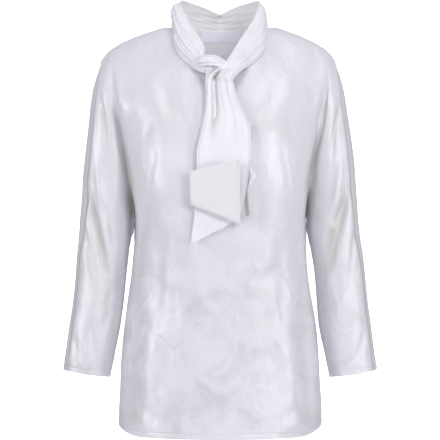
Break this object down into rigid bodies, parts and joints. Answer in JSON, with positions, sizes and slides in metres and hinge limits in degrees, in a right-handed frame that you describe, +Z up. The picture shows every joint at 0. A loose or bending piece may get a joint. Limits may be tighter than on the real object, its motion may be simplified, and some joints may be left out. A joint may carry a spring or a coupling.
{
  "type": "blouse",
  "caption": "Pale satin blouse with kimono sleeves cut in one with the body, a standing scarf collar knotted in front with two loose ends, and a curved hem.",
  "frame": {"origin": "middle of the neck base, level with the two points where the shoulder seams meet the collar", "axes": "+Z up, the front faces -Y, +X to the viewer's right when looking at the front"},
  "size_m": [0.5438, 0.2654, 0.7907],
  "materials": {
    "body_satin": "soft satin",
    "scarf_satin": "soft satin",
    "woven_label": "matt woven"
  },
  "bodies": {
    "root": {"front": "body_satin", "back_left": "body_satin", "back_right": "body_satin", "collar_left": "scarf_satin", "collar_right": "scarf_satin", "knot": "scarf_satin", "tie_front": "scarf_satin", "tie_back": "scarf_satin", "label": "woven_label"}
  },
  "joints": []
}
